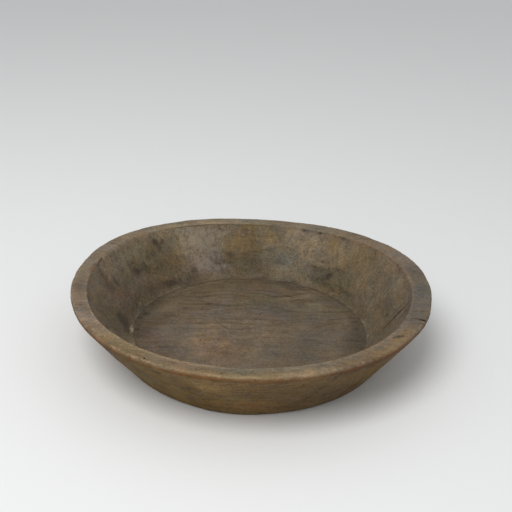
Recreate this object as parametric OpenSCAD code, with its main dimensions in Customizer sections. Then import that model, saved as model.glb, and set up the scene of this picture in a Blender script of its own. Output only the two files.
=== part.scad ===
// Dough bowl, carved by hand from one block of wood. Millimetres, +Z up.
// +X runs along the grain. The origin is the middle of the bowl's outline, on the surface it stands on.

/* [Rim] */
// Mean radius of the rim's outer edge
rim_r = 280; // [240:1:340]
// Mean height of the rim's top above the surface
rim_height = 104; // [80:1:150]
// Mean width of the rim, from its inner edge to its outer edge
rim_width = 27.3; // [20:0.1:40]
// How far the rim's top swells up between its two edges
rim_crown = 0.8; // [0:0.1:3]
// Level reach of the rolled outer edge
rim_roll = 4; // [2:0.5:8]
// Drop of the rolled outer edge
rim_drop = 7.5; // [4:0.5:14]
// Softening of the rim's inner edge
rim_break = 2.4; // [0.5:0.1:4]
// How much further the rim's inner edge is worn down where it was held
edge_wear = 6; // [0:0.5:10]
// Direction of the worn stretch's middle
edge_wear_turn = 157; // [0:1:360]
// Turn from the worn stretch's middle to either of its ends
edge_wear_spread = 30; // [10:1:60]

/* [Outer wall and foot] */
// Mean radius of the corner that the outer wall would make with the surface
foot_r = 211; // [190:1:225]
// How far the outer wall bows outwards at its middle
wall_bow = 0.5; // [0:0.1:6]
// Softening of the foot's corner
foot_round = 6; // [2:0.5:12]
// Depth of wood planed off so that the foot stands flat
foot_planed = 1.5; // [0.5:0.1:3]

/* [Hollow] */
// Mean radius of the floor, to the crease below the wall
floor_r = 189; // [165:1:200]
// Thickness of the floor at its middle
floor_thick = 17; // [10:0.5:30]
// Rise of the floor from its middle to its edge
floor_rise = 1.5; // [0:0.1:4]
// How far the hollow's wall is scooped back at its middle
hollow_bow = 1.5; // [0:0.1:5]
// Height of the ridge that the cuts of the wall and of the floor left between them
ridge_height = 1.8; // [0.5:0.1:4]
// Width of each side of that ridge
ridge_width = 5; // [2:0.5:8]

/* [Carving by eye, outline] */
// Swell of the outline to an oval
oval = 2.5; // [0:0.1:8]
// Direction of the oval's long way from the grain
oval_turn = 22; // [0:1:180]
// Swell of the outline to three soft corners
three_corner = 2.7; // [0:0.1:8]
// Direction of the first of the three corners
three_corner_turn = 25; // [0:1:120]
// Swell of the outline to four soft corners
four_corner = 2.1; // [0:0.1:8]
// Direction of the first of the four corners
four_corner_turn = 51; // [0:1:90]
// How much wider the rim is on its wide side
rim_width_swell = 4.6; // [0:0.1:8]
// Direction of the rim's wide side
rim_width_turn = 39; // [0:1:360]
// How much wider the rim is at both ends of its second swell
rim_width_oval = 1.2; // [0:0.1:4]
// Direction of that second swell
rim_width_oval_turn = 18; // [0:1:180]

/* [Carving by eye, heights and foot] */
// Rise of the rim's top at both ends of the grain
rim_saddle = 1.9; // [0:0.1:6]
// Rise of the rim's top at three places round it
rim_wave = 1.6; // [0:0.1:5]
// Direction of the first of those three places
rim_wave_turn = 9; // [0:1:120]
// How far the foot lies off the middle
foot_shift = 3.3; // [0:0.1:8]
// Direction in which the foot lies off the middle
foot_shift_turn = 12; // [0:1:360]
// Swell of the foot to an oval along the grain
foot_oval = 1.9; // [0:0.1:6]
// Swell of the foot to three soft corners, below those of the outline
foot_corner = 4; // [0:0.1:8]

/* [Drying checks] */
// Width of the check that opens across the rim at the end of the grain
end_check_width = 1.2; // [0.6:0.1:2.5]
// Depth of that check below the rim's top
end_check_depth = 9; // [4:0.5:16]
// Direction of that check's middle from the bowl's middle
end_check_turn = -25; // [-40:1:0]
// Width of the slot along the rim's inner edge
edge_slot_width = 3.4; // [1.5:0.1:5]
// Length of that slot
edge_slot_length = 22; // [8:1:30]
// Depth of that slot below the rim's top
edge_slot_depth = 8; // [4:0.5:14]
// Direction of that slot's middle from the bowl's middle
edge_slot_turn = 167; // [150:1:180]
// Width of the check that runs down the hollow's wall, at its widest
wall_check_width = 3.4; // [1:0.1:5]
// Length of that check
wall_check_length = 58; // [30:1:70]
// Depth of that check below the wall
wall_check_depth = 6; // [2:0.5:8]
// Distance of its lower end from the crease, up the wall
wall_check_start = 37; // [10:1:45]
// Direction of that check from the bowl's middle
wall_check_turn = -11; // [-40:1:20]

/* [Hidden] */

// Sections round the bowl, and steps along each stretch of a section
directions = 96;
bow_steps = 5;
round_steps = 3;
// Rings of the floor inside the crease, as shares of its radius
floor_ring_shares = [0.22, 0.42, 0.6, 0.76, 0.9];
// Reach of a cut past what it cuts
overrun = 4;
// Where the wall's check is widest, as a share of its length
wall_check_widest_share = 0.45;

turns = [for (i = [0:directions - 1]) i * 360 / directions];

// A swell that comes round a number of times, highest at the direction turn
function swell(amount, times, a, turn = 0) = amount * cos(times * (a - turn));

function outer_r(a) = rim_r + swell(oval, 2, a, oval_turn)
    + swell(three_corner, 3, a, three_corner_turn) + swell(four_corner, 4, a, four_corner_turn);
function rim_width_at(a) = rim_width + swell(rim_width_swell, 1, a, rim_width_turn)
    + swell(rim_width_oval, 2, a, rim_width_oval_turn);
function rim_top(a) = rim_height + swell(rim_saddle, 2, a) + swell(rim_wave, 3, a, rim_wave_turn);
function inner_r(a) = outer_r(a) - rim_width_at(a);
function foot_r_at(a) = foot_r + swell(foot_shift, 1, a, foot_shift_turn) + swell(foot_oval, 2, a)
    + swell(foot_corner, 3, a, three_corner_turn);

// How far the rim's inner edge is softened in the direction a
function rim_break_at(a) =
    let (off = abs((a - edge_wear_turn + 540) % 360 - 180))
    rim_break + (off < edge_wear_spread ? edge_wear * pow(cos(90 * off / edge_wear_spread), 2) : 0);

// The outline's middle, which the origin lies under
rim_xs = [for (a = turns) outer_r(a) * cos(a)];
rim_ys = [for (a = turns) outer_r(a) * sin(a)];
outline_middle = [(min(rim_xs) + max(rim_xs)) / 2, (min(rim_ys) + max(rim_ys)) / 2];

function unit(v) = v / norm(v);

// Points between p and q on a line that bows to its left by the height bow at its middle
function bowed(p, q, bow) =
    let (side = unit([p[1] - q[1], q[0] - p[0]]))
    [for (i = [1:bow_steps - 1]) let (t = i / bow_steps) p + t * (q - p) + 4 * t * (1 - t) * bow * side];

// Points from p to q, round a corner whose sharp point would be at apex
function rounded(p, apex, q) =
    [for (i = [0:round_steps]) let (t = i / round_steps)
        (1 - t) * (1 - t) * p + 2 * t * (1 - t) * apex + t * t * q];

// The wood's section in the direction a, as [radius, height]: out along the floor, up the hollow's wall,
// over the rim, down the outer wall and under the foot
function section(a) =
    let (
        crease = [floor_r, floor_thick + floor_rise],
        inner_edge = [inner_r(a), rim_top(a)],
        outer_edge = [outer_r(a), rim_top(a)],
        foot = [foot_r_at(a), -foot_planed],
        up_hollow = unit(inner_edge - crease),
        ridge_wall = crease + ridge_width * up_hollow,
        hollow_end = inner_edge - rim_break_at(a) * up_hollow,
        rim_start = inner_edge + [rim_break_at(a), 0],
        rim_end = outer_edge - [rim_roll, 0],
        wall_start = outer_edge - [0, rim_drop],
        wall_end = foot + foot_round * unit(wall_start - foot)
    )
    concat(
        [for (s = floor_ring_shares) [(floor_r - ridge_width) * s, floor_thick + floor_rise * s * s]],
        [crease - [ridge_width, 0], crease + [0, ridge_height], ridge_wall],
        bowed(ridge_wall, hollow_end, -hollow_bow),
        rounded(hollow_end, inner_edge, rim_start),
        bowed(rim_start, rim_end, rim_crown),
        rounded(rim_end, outer_edge, wall_start),
        bowed(wall_start, wall_end, wall_bow),
        rounded(wall_end, foot, foot - [foot_round, 0])
    );

// One skin through the sections in all directions, closed at the middle of the floor and of the foot
module carved_block() {
    rings = len(section(0));
    points = [for (a = turns) for (p = section(a)) [p[0] * cos(a), p[0] * sin(a), p[1]]];
    floor_middle = len(points);
    foot_middle = floor_middle + 1;
    skin = [for (i = [0:directions - 1])
        let (here = i * rings, next = (i + 1) % directions * rings)
        each concat(
            [[floor_middle, next, here], [foot_middle, here + rings - 1, next + rings - 1]],
            [for (j = [0:rings - 2]) [here + j, next + j + 1, here + j + 1]],
            [for (j = [0:rings - 2]) [here + j, next + j, next + j + 1]]
        )];
    polyhedron(concat(points, [[0, 0, floor_thick], [0, 0, -foot_planed]]), skin);
}

// Everything below the surface that the bowl stands on
module below_surface() {
    reach = rim_r + overrun;
    translate([-reach, -reach, -foot_planed - overrun]) cube([2 * reach, 2 * reach, foot_planed + overrun]);
}

// A check that opened along the grain, right across the rim, narrowing with its depth
module end_check() {
    a = end_check_turn;
    middle = inner_r(a) + rim_width_at(a) / 2;
    reach = 2 * rim_width_at(a);
    half_mouth = end_check_width / 2 * (end_check_depth + overrun) / end_check_depth;
    translate([middle * cos(a) - reach / 2, middle * sin(a), rim_top(a)])
        rotate([90, 0, 90])
            linear_extrude(reach)
                polygon([[0, -end_check_depth], [half_mouth, overrun], [-half_mouth, overrun]]);
}

// A slot that opened along the rim, by its inner edge
module edge_slot() {
    a = edge_slot_turn;
    rotate(a)
        translate([inner_r(a), 0, rim_top(a) - edge_slot_depth])
            linear_extrude(edge_slot_depth + overrun)
                scale([edge_slot_width / edge_slot_length, 1]) circle(d = edge_slot_length, $fn = 8);
}

// A check that opened in the hollow's wall where the grain ends on it, running out at both ends
module wall_check() {
    a = wall_check_turn;
    foot_height = floor_thick + floor_rise;
    lean = atan2(rim_top(a) - foot_height, inner_r(a) - floor_r);
    widest = wall_check_length * wall_check_widest_share;
    rotate(a)
        translate([floor_r, 0, foot_height])
            rotate([0, -lean, 0])
                translate([wall_check_start, 0, -wall_check_depth])
                    linear_extrude(wall_check_depth + overrun)
                        polygon([[0, 0], [widest, -wall_check_width / 2], [wall_check_length, 0],
                            [widest, wall_check_width / 2]]);
}

module bowl() {
    color([0.43, 0.36, 0.28])
        translate([-outline_middle[0], -outline_middle[1], 0])
            difference() {
                carved_block();
                below_surface();
                end_check();
                edge_slot();
                wall_check();
            }
}

bowl();
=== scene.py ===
import math
from types import SimpleNamespace

import bpy
import numpy as np
from mathutils import Matrix, Vector
from mathutils.bvhtree import BVHTree


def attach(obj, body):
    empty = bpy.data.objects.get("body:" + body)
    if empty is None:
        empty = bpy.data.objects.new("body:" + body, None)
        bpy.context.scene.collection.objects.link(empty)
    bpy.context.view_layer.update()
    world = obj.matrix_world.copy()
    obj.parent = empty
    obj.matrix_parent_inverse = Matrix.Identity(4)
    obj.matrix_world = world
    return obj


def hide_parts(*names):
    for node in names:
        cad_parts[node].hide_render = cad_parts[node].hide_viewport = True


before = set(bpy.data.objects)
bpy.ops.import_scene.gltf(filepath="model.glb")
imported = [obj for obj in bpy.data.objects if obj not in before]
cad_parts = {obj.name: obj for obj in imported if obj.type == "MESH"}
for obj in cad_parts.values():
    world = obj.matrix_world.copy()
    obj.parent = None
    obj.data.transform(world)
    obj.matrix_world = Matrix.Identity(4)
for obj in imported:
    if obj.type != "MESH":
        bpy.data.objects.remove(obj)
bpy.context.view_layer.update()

# A dough bowl hewn from one block of wood. Sizes are written in millimetres and made metres by MM
MM = 0.001
DEG = math.pi / 180

# The bowl's sizes in millimetres and its turns in degrees, as the solid has them
SIZES = {
    "Rim radius": 280, "Rim height": 104, "Rim width": 27.3, "Rim crown": 0.8,
    "Rim roll": 4, "Rim drop": 7.5, "Rim break": 2.4,
    "Edge wear": 6, "Edge wear turn": 157, "Edge wear spread": 30,
    "Foot radius": 211, "Wall bow": 0.5, "Foot round": 6, "Foot planed": 1.5,
    "Floor radius": 189, "Floor thickness": 17, "Floor rise": 1.5, "Hollow bow": 1.5,
    "Ridge height": 1.8, "Ridge width": 5,
    "Oval": 2.5, "Oval turn": 22, "Three corners": 2.7, "Three corners turn": 25,
    "Four corners": 2.1, "Four corners turn": 51,
    "Width swell": 4.6, "Width swell turn": 39, "Width oval": 1.2, "Width oval turn": 18,
    "Saddle": 1.9, "Wave": 1.6, "Wave turn": 9,
    "Foot shift": 3.3, "Foot shift turn": 12, "Foot oval": 1.9, "Foot corners": 4,
}

# What the carver's tools and the years took off: depths and reaches in millimetres
CARVING = {
    "Sway depth": 1.1, "Sway reach": 85,
    "Gouge depth": 0.55, "Gouge width": 26, "Gouge length": 70,
    "Scrape depth": 0.35, "Scrape width": 24, "Scrape length": 150,
    "Hewing depth": 0.8, "Hewing width": 44, "Hewing length": 70,
    "Dip depth": 0.3, "Dip width": 20, "Dip length": 40,
    "Pit depth": 0.7, "Pit width": 4.5, "Pit length": 9,
    "Nick depth": 0.8, "Nick reach": 7,
    "Fibre depth": 0.25, "Fibre width": 4.2, "Fibre length": 25,
    "Edge wander": 1.6, "Crease wander": 2.4, "Wander reach": 34,
    "Ridge at sides": 0.35, "Ridge more at ends": 0.7, "Ridge wander": 0.8, "Ridge fullness": 0.15,
    "Wood left on": 0.35, "Seed": 3,
}

# The stretches of the bowl's section from the middle of the floor to the middle of the foot, and their
# rough lengths in millimetres, for marks that are sized along it
RUNS = {
    "floor": 185, "ridge inside": 5, "ridge outside": 5, "hollow wall": 100, "inner edge": 4, "rim top": 20,
    "rolled edge": 8.5, "outer wall": 113, "foot corner": 9, "underside": 205,
}
# Where each stretch starts, in the count that the mesh carries as its place
FLOOR, RIDGE, WALL, EDGE, RIM, ROLL, OUTSIDE, FOOT, UNDER = 0, 1, 3, 4, 5, 6, 7, 8, 9

# Points round the bowl on the finest rings, and steps along each stretch
ROUND = 768
STEPS = [42, 5, 5, 30, 7, 14, 7, 26, 4, 16]
# The rings have half as many points near both middles, and half of that again within each of these shares
HALVINGS = (0.5, 0.25, 0.125, 0.0625)
# Sections round the solid, which decide where its outline's middle lies
SOLID_SECTIONS = 96


class Wire:
    """A node's output, which sums can be written with."""

    def __init__(self, tree, socket):
        self.tree, self.socket = tree, socket

    def __neg__(self):
        return work("MULTIPLY", self, -1.0)


for sign, op in (("add", "ADD"), ("sub", "SUBTRACT"), ("mul", "MULTIPLY"), ("truediv", "DIVIDE")):
    setattr(Wire, f"__{sign}__", lambda self, other, op=op: work(op, self, other))
    setattr(Wire, f"__r{sign}__", lambda self, other, op=op: work(op, other, self))


def feed(tree, value, socket):
    """Links a wire to a socket, or writes a plain value on it."""
    if isinstance(value, Wire):
        tree.links.new(value.socket, socket)
    else:
        socket.default_value = value


def is_vector(value):
    return value.socket.type == "VECTOR" if isinstance(value, Wire) else isinstance(value, tuple)


def work(op, *values):
    """A math node on numbers, or a vector math node where one of the values is a vector."""
    tree = next(v.tree for v in values if isinstance(v, Wire))
    vectors = [is_vector(v) for v in values]
    node = tree.nodes.new("ShaderNodeVectorMath" if any(vectors) else "ShaderNodeMath")
    if op == "MULTIPLY" and any(vectors) and not all(vectors):
        node.operation = "SCALE"
        values = sorted(values, key=is_vector, reverse=True)
        feed(tree, values[0], node.inputs[0])
        feed(tree, values[1], node.inputs["Scale"])
        return Wire(tree, node.outputs[0])
    node.operation = op
    for value, socket in zip(values, node.inputs):
        plain = any(vectors) and isinstance(value, (int, float))
        feed(tree, (value,) * 3 if plain else value, socket)
    return Wire(tree, node.outputs[1 if op in ("LENGTH", "DOT_PRODUCT") else 0])


def parts(vector):
    """The three numbers of a vector."""
    node = vector.tree.nodes.new("ShaderNodeSeparateXYZ")
    feed(vector.tree, vector, node.inputs[0])
    return [Wire(vector.tree, s) for s in node.outputs]


def point(x, y, z=0.0):
    """A vector of three numbers."""
    tree = next(v.tree for v in (x, y, z) if isinstance(v, Wire))
    node = tree.nodes.new("ShaderNodeCombineXYZ")
    for value, socket in zip((x, y, z), node.inputs):
        feed(tree, value, socket)
    return Wire(tree, node.outputs[0])


def span(value, low, high, to_low=0.0, to_high=1.0, smooth=True):
    """Maps low..high to to_low..to_high, held at both ends."""
    node = value.tree.nodes.new("ShaderNodeMapRange")
    node.interpolation_type = "SMOOTHSTEP" if smooth else "LINEAR"
    names = ("Value", "From Min", "From Max", "To Min", "To Max")
    for v, name in zip((value, low, high, to_low, to_high), names):
        feed(value.tree, v, node.inputs[name])
    return Wire(value.tree, node.outputs[0])


def noise(at, detail=2.0, rough=0.5):
    """Soft noise from 0 to 1, mostly near 0.5, that changes over a reach of about 1."""
    node = at.tree.nodes.new("ShaderNodeTexNoise")
    for v, name in zip((at, 1.0, detail, rough), ("Vector", "Scale", "Detail", "Roughness")):
        feed(at.tree, v, node.inputs[name])
    return Wire(at.tree, node.outputs["Fac"])


def cells(at, smooth=0.3):
    """Distance to the nearest of many points scattered about 1 apart."""
    node = at.tree.nodes.new("ShaderNodeTexVoronoi")
    node.feature = "SMOOTH_F1" if smooth else "F1"
    feed(at.tree, at, node.inputs["Vector"])
    feed(at.tree, 1.0, node.inputs["Scale"])
    if smooth:
        feed(at.tree, smooth, node.inputs["Smoothness"])
    return Wire(at.tree, node.outputs["Distance"])


def between(place, low, high, soft=0.08):
    """1 where the place along the section lies from low to high, fading over soft on both sides."""
    return span(place, low - soft, low + soft) * span(place, high - soft, high + soft, 1.0, 0.0)


def ring_counts():
    """Place along the section and number of points of each ring, with one point at both middles."""
    rings = []
    for k, steps in enumerate(STEPS):
        for i in range(1, steps + 1):
            t = i / steps
            if k == 0 and t < 1:
                count, share = ROUND // 2, t
            elif k == len(STEPS) - 1:
                count, share = ROUND // 2, 1 - t
            else:
                count, share = ROUND, 1.0
            rings.append((k + t, count // 2 ** sum(share <= halving for halving in HALVINGS)))
    return [(0.0, 1)] + rings[:-1] + [(float(len(STEPS)), 1)]


def blank():
    """Rings of points joined by faces, each point knowing its place along the section and round the bowl."""
    place, around, faces, starts = [], [], [], []
    rings = ring_counts()
    for at, count in rings:
        starts.append(len(place))
        place += [at] * count
        around += [2 * math.pi * i / count for i in range(count)]
    for (_, inner), (_, outer), a, b in zip(rings, rings[1:], starts, starts[1:]):
        if inner == outer:
            for i in range(inner):
                j = (i + 1) % inner
                faces.append((a + i, b + i, b + j, a + j))
        elif inner == 1:
            faces += [(a, b + i, b + (i + 1) % outer) for i in range(outer)]
        elif outer == 1:
            faces += [(a + i, b, a + (i + 1) % inner) for i in range(inner)]
        elif outer == 2 * inner:
            for i in range(inner):
                j = (i + 1) % inner
                faces += [(a + i, b + 2 * i, b + 2 * i + 1), (a + i, b + 2 * i + 1, a + j),
                          (a + j, b + 2 * i + 1, b + (2 * i + 2) % outer)]
        else:
            for i in range(outer):
                j = (i + 1) % outer
                faces += [(a + 2 * i, b + i, a + 2 * i + 1), (b + i, b + j, a + 2 * i + 1),
                          (b + j, a + (2 * i + 2) % inner, a + 2 * i + 1)]
    mesh = bpy.data.meshes.new("blank")
    spots = [(math.cos(turn) * at * MM, math.sin(turn) * at * MM, 0.0) for at, turn in zip(place, around)]
    mesh.from_pydata(spots, [], faces)
    for name, values in (("place", place), ("around", around)):
        mesh.attributes.new(name, "FLOAT", "POINT").data.foreach_set("value", values)
    return mesh


def outline_middle():
    """The middle of the outline's box, which the frame's origin lies under, in millimetres."""
    turns = np.arange(SOLID_SECTIONS) * 360 / SOLID_SECTIONS
    radius = SIZES["Rim radius"] + sum(
        SIZES[name] * np.cos(times * (turns - SIZES[name + " turn"]) * DEG)
        for name, times in (("Oval", 2), ("Three corners", 3), ("Four corners", 4)))
    xs, ys = radius * np.cos(turns * DEG), radius * np.sin(turns * DEG)
    return float(xs.min() + xs.max()) / 2, float(ys.min() + ys.max()) / 2


MIDDLE_X, MIDDLE_Y = outline_middle()


def named(tree, name):
    """A number that the blank's points carry."""
    node = tree.nodes.new("GeometryNodeInputNamedAttribute")
    node.data_type = "FLOAT"
    node.inputs["Name"].default_value = name
    return Wire(tree, node.outputs["Attribute"])


def unit(v):
    return work("NORMALIZE", v)


def on_line(p, q, t):
    """The point at the share t of the way from p to q."""
    return p + (q - p) * t


def bowed(p, q, bow, t):
    """The same on a line that bows to its left by the height bow at its middle."""
    side = work("CROSS_PRODUCT", (0.0, 0.0, 1.0), unit(q - p))
    return on_line(p, q, t) + side * (4.0 * t * (1.0 - t) * bow)


def rounded(p, apex, q, t):
    """The same round a corner whose sharp point would be at apex."""
    return on_line(on_line(p, apex, t), on_line(apex, q, t), t)


def laid(s, place, around, wraps, seed):
    """Where the points of the blank go: the solid's section, laid round the bowl by the solid's rule."""
    tree = place.tree

    def swell(amount, times, turn=None):
        angle = around if turn is None else around - s[turn] * DEG
        return s[amount] * work("COSINE", angle * float(times))

    def wandering(at):
        return (noise(at / s["Wander reach"]) - 0.5) * 2.0

    outer_r = (s["Rim radius"] + swell("Oval", 2, "Oval turn")
               + swell("Three corners", 3, "Three corners turn")
               + swell("Four corners", 4, "Four corners turn"))
    width = (s["Rim width"] + swell("Width swell", 1, "Width swell turn")
             + swell("Width oval", 2, "Width oval turn"))
    top = s["Rim height"] + swell("Saddle", 2) + swell("Wave", 3, "Wave turn")
    foot_r = (s["Foot radius"] + swell("Foot shift", 1, "Foot shift turn") + swell("Foot oval", 2)
              + swell("Foot corners", 3, "Three corners turn"))

    # The inner edge is worn down where the bowl was held. It and the crease wander a little, as they do
    # when they are cut by eye
    off = work("ABSOLUTE", work("WRAP", around / DEG - s["Edge wear turn"], 180.0, -180.0))
    worn = work("COSINE", work("MINIMUM", off / s["Edge wear spread"], 1.0) * (math.pi / 2))
    wander, crease_wander = wandering(wraps + point(seed, seed)), wandering(wraps - point(seed, seed))
    softened = s["Rim break"] + s["Edge wear"] * worn * worn + s["Edge wander"] * wander
    floor_r = s["Floor radius"] + s["Crease wander"] * crease_wander
    # The ridge stands highest at the grain's ends and nearly fades at the back and front
    ends = work("COSINE", around)
    ridge = (s["Ridge height"] * (s["Ridge at sides"] + s["Ridge more at ends"] * ends * ends)
             * (1.0 + s["Ridge wander"] * wander))

    # The corners of the section, as distance from the middle and height
    crease = point(floor_r, s["Floor thickness"] + s["Floor rise"])
    inner_edge, outer_edge = point(outer_r - width, top), point(outer_r, top)
    foot = point(foot_r, -s["Foot planed"])
    up_hollow = unit(inner_edge - crease)
    floor_edge = crease - point(s["Ridge width"], 0.0)
    crest, ridge_wall = crease + point(0.0, ridge), crease + up_hollow * s["Ridge width"]
    crest_end = on_line(crest, ridge_wall, 0.5) + point(0.0, ridge * s["Ridge fullness"])
    hollow_end = inner_edge - up_hollow * softened
    rim_start, rim_end = inner_edge + point(softened, 0.0), outer_edge - point(s["Rim roll"], 0.0)
    wall_start = outer_edge - point(0.0, s["Rim drop"])
    wall_end = foot + unit(wall_start - foot) * s["Foot round"]
    foot_in = foot - point(s["Foot round"], 0.0)

    # One spot for each of the stretches, at the share t of its length
    stretch = work("MINIMUM", work("FLOOR", place), float(len(RUNS) - 1))
    t = place - stretch
    ease = t * t * (3.0 - 2.0 * t)
    spots = [
        point((floor_r - s["Ridge width"]) * t, s["Floor thickness"] + s["Floor rise"] * t * t),
        floor_edge + (crest - floor_edge) * point(t, ease),
        rounded(crest, crest_end, ridge_wall, t),
        bowed(ridge_wall, hollow_end, -s["Hollow bow"], t),
        rounded(hollow_end, inner_edge, rim_start, t),
        bowed(rim_start, rim_end, s["Rim crown"], t),
        rounded(rim_end, outer_edge, wall_start, t),
        bowed(wall_start, wall_end, s["Wall bow"], t),
        rounded(wall_end, foot, foot_in, t),
        on_line(foot_in, point(0.0, -s["Foot planed"]), t),
    ]
    pick = tree.nodes.new("GeometryNodeIndexSwitch")
    pick.data_type = "VECTOR"
    while len(pick.index_switch_items) < len(spots):
        pick.index_switch_items.new()
    feed(tree, stretch, pick.inputs["Index"])
    for spot, socket in zip(spots, list(pick.inputs)[1:]):
        feed(tree, spot, socket)
    r, z, _ = parts(Wire(tree, pick.outputs[0]))
    return point(r * work("COSINE", around) - MIDDLE_X, r * work("SINE", around) - MIDDLE_Y,
                 work("MAXIMUM", z, 0.0)) * MM


def taken_off(s, place, wraps, seed):
    """How much wood is off the skin at each point, in millimetres, each tool where it was used, and how
    much of a pit or nick the point lies in."""
    tree = place.tree
    at = Wire(tree, tree.nodes.new("GeometryNodeInputPosition").outputs[0]) / MM
    at = at + point(seed, seed * 0.7, seed * 1.3)
    x, y, z = parts(at)
    down = place * float(RUNS["hollow wall"])

    def scoops(tool):
        """Shallow cuts side by side round the bowl, deepest in their middles, with low ridges between."""
        u, v, _ = parts(wraps)
        wide = s[tool + " width"]
        gap = cells(point(u / wide, v / wide, down / s[tool + " length"]), 0.25)
        return s[tool + " depth"] * (1.0 - span(gap * gap, 0.0, 0.45))

    def grain_dips(tool):
        """Dips that lie along the grain."""
        wide = s[tool + " width"]
        gap = cells(point(x / s[tool + " length"], y / wide, z / wide), 0.3)
        return s[tool + " depth"] * (1.0 - span(gap, 0.1, 0.7))

    on_rim = between(place, EDGE + 0.3, OUTSIDE + 0.1, 0.3)
    cut = s["Sway depth"] * span(noise(at / s["Sway reach"], 1.0), 0.3, 0.7)
    cut = cut + between(place, WALL + 0.05, EDGE) * scoops("Gouge")
    cut = cut + between(place, FLOOR - 1.0, RIDGE) * grain_dips("Scrape")
    cut = cut + between(place, OUTSIDE + 0.03, FOOT) * scoops("Hewing")
    cut = cut + on_rim * grain_dips("Dip")
    # Pits where the wood's softer spots have gone, most of them on the rim
    pit_at = point(x / s["Pit length"], y / s["Pit width"], z / s["Pit width"])
    pit = (1.0 - span(cells(pit_at, 0.0), 0.12, 0.42)) * span(noise(pit_at / 3.0 + 7.0), 0.48, 0.6)
    pit = pit * (0.35 + on_rim * 0.65)
    cut = cut + s["Pit depth"] * pit
    # Nicks along both edges of the rim, fewer on the outer one
    inner, outer = between(place, EDGE + 0.1, RIM + 0.1, 0.1), between(place, ROLL + 0.1, ROLL + 0.8, 0.15)
    nick = span(noise(at / s["Nick reach"]), 0.56, 0.76)
    at_edges = work("MAXIMUM", inner, outer * 0.5)
    cut = cut + s["Nick depth"] * nick * at_edges
    fibres = noise(point(x / s["Fibre length"], y / s["Fibre width"], z / s["Fibre width"]), 2.0, 0.6)
    cut = cut + s["Fibre depth"] * span(fibres, 0.35, 0.65)
    # The walls and the floor keep a little more wood, so that they stand where the solid's do on average,
    # and the foot stays flat where it stands, but for the plane's faint tracks
    whole = between(place, RIM - 0.3, OUTSIDE + 0.15, 0.2)
    cut = cut - s["Wood left on"] * (1.0 - whole) * span(place, FOOT - 0.3, FOOT - 0.1, 1.0, 0.0)
    cut = cut * span(place, FOOT + 0.2, UNDER + 0.02, 1.0, 0.15)
    return cut, work("MAXIMUM", pit, nick * at_edges)


def carving_tree():
    """The tree that lays the section round the bowl by its rule, and then carves and wears its skin."""
    tree = bpy.data.node_groups.new("Bowl carved by eye", "GeometryNodeTree")
    io = tree.interface
    io.new_socket("Geometry", in_out="INPUT", socket_type="NodeSocketGeometry")
    for name in {**SIZES, **CARVING}:
        io.new_socket(name, in_out="INPUT", socket_type="NodeSocketFloat")
    io.new_socket("Wood", in_out="INPUT", socket_type="NodeSocketMaterial")
    io.new_socket("Geometry", in_out="OUTPUT", socket_type="NodeSocketGeometry")
    start, end = tree.nodes.new("NodeGroupInput"), tree.nodes.new("NodeGroupOutput")
    s = {o.name: Wire(tree, o) for o in start.outputs if o.name}

    place, around = named(tree, "place"), named(tree, "around")
    wraps = point(work("COSINE", around), work("SINE", around)) * s["Rim radius"]
    # The seed shifts every noise of the carving
    seed = s["Seed"] * 37.0

    lay = tree.nodes.new("GeometryNodeSetPosition")
    feed(tree, s["Geometry"], lay.inputs["Geometry"])
    feed(tree, laid(s, place, around, wraps, seed), lay.inputs["Position"])

    # Carving takes wood off along the skin's normal
    cut, pitted = taken_off(s, place, wraps, seed)
    normal = Wire(tree, tree.nodes.new("GeometryNodeInputNormal").outputs[0])
    carve = tree.nodes.new("GeometryNodeSetPosition")
    feed(tree, Wire(tree, lay.outputs[0]), carve.inputs["Geometry"])
    feed(tree, normal * (cut * -MM), carve.inputs["Offset"])
    note = tree.nodes.new("GeometryNodeStoreNamedAttribute")
    note.data_type, note.domain = "FLOAT", "POINT"
    note.inputs["Name"].default_value = "pit"
    feed(tree, Wire(tree, carve.outputs[0]), note.inputs["Geometry"])
    feed(tree, pitted, note.inputs["Value"])

    smooth = tree.nodes.new("GeometryNodeSetShadeSmooth")
    realize = tree.nodes.new("GeometryNodeRealizeInstances")
    paint = tree.nodes.new("GeometryNodeSetMaterial")
    for a, b in ((note, smooth), (smooth, realize), (realize, paint), (paint, end)):
        tree.links.new(a.outputs[0], b.inputs[0])
    feed(tree, s["Wood"], paint.inputs["Material"])
    return tree


def link(data, name):
    obj = bpy.data.objects.new(name, data)
    bpy.context.scene.collection.objects.link(obj)
    return obj


def settled(obj):
    """The object's mesh with its modifiers done, as a plain mesh on it."""
    graph = bpy.context.evaluated_depsgraph_get()
    mesh = bpy.data.meshes.new_from_object(obj.evaluated_get(graph))
    obj.modifiers.clear()
    old, obj.data = obj.data, mesh
    bpy.data.meshes.remove(old)
    return mesh


def carved_bowl(wood):
    """The whole bowl: the blank, laid and carved by the tree and made a plain mesh."""
    obj = link(blank(), "hewn_bowl")
    tree = carving_tree()
    modifier = obj.modifiers.new("Carving", "NODES")
    modifier.node_group = tree
    values = {**SIZES, **CARVING, "Wood": wood}
    for item in tree.interface.items_tree:
        if item.in_out == "INPUT" and item.name in values:
            value = values[item.name]
            modifier[item.identifier] = value if item.name == "Wood" else float(value)
    settled(obj)
    return obj


# The way out of the wood on the rim
RIM_UP = (0.0, 0.0, 1.0)


def wall_out(x, y, lean=0.8):
    """The way out of the hollow's wall at x, y: inwards and up."""
    return Vector((-x, -y, lean * math.hypot(x, y))).normalized()


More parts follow.
